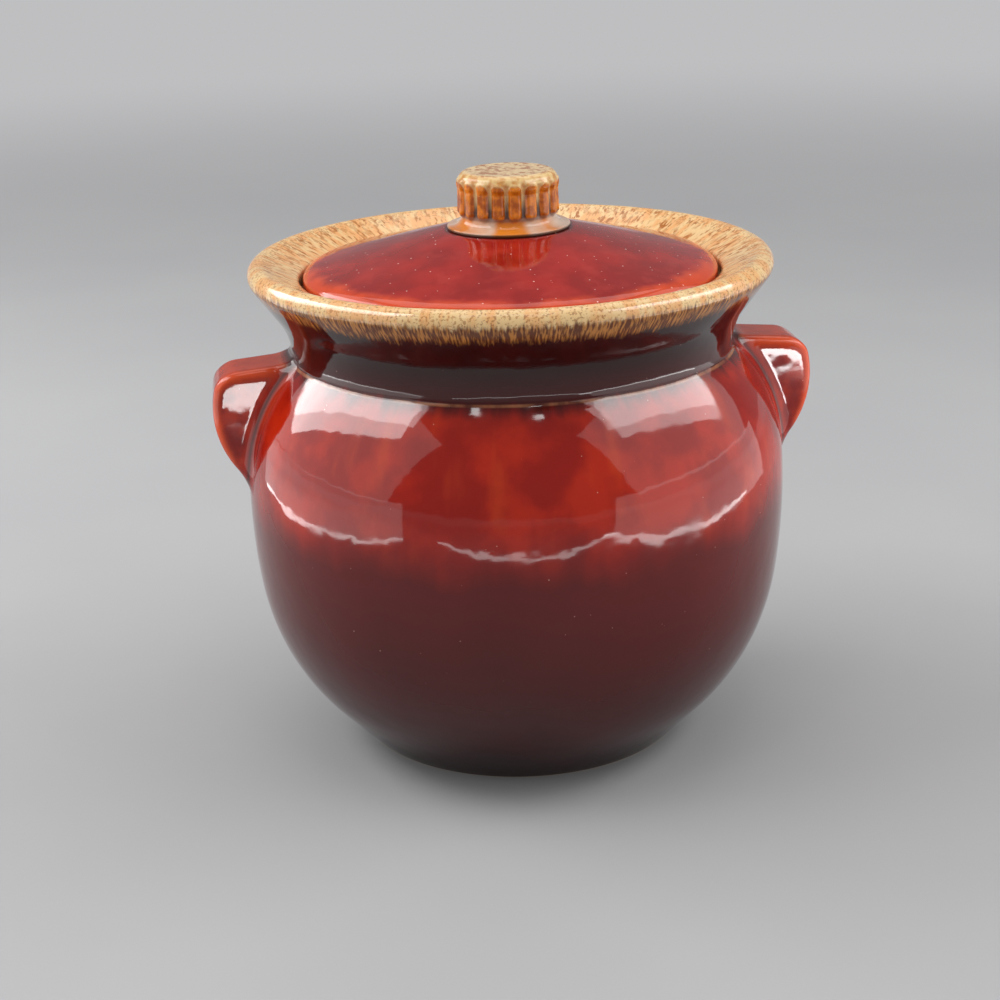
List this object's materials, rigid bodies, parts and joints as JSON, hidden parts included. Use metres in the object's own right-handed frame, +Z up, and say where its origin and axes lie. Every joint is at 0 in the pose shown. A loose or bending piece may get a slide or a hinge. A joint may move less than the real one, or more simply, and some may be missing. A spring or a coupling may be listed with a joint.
{
  "type": "stoneware bean pot",
  "caption": "Round-bellied glazed stoneware bean pot with a flared rim, solid ear lugs and a loose lift-off lid with a ribbed knob, for slow baking and serving.",
  "frame": {"origin": "middle of the foot ring's face, on the surface that the pot stands on", "axes": "+Z up along the pot's axis; the two lugs lie along X; -Y is the front"},
  "size_m": [0.1868, 0.168, 0.1779],
  "materials": {
    "brown_glaze": "gloss mahogany glaze with a cream run of glaze over the rim",
    "lid_glaze": "gloss red-brown glaze, redder at the edge",
    "knob_glaze": "gloss amber glaze under a cream run of glaze from the top"
  },
  "bodies": {
    "pot": {"pot_body": "brown_glaze", "lug_left": "brown_glaze", "lug_right": "brown_glaze"},
    "lid": {"lid": "lid_glaze", "lid_knob": "knob_glaze"}
  },
  "joints": [
    {"name": "lid_lift", "type": "slide", "parent": "pot", "child": "lid", "axis": [0, 0, 1], "range_m": [0, 0.16]}
  ]
}
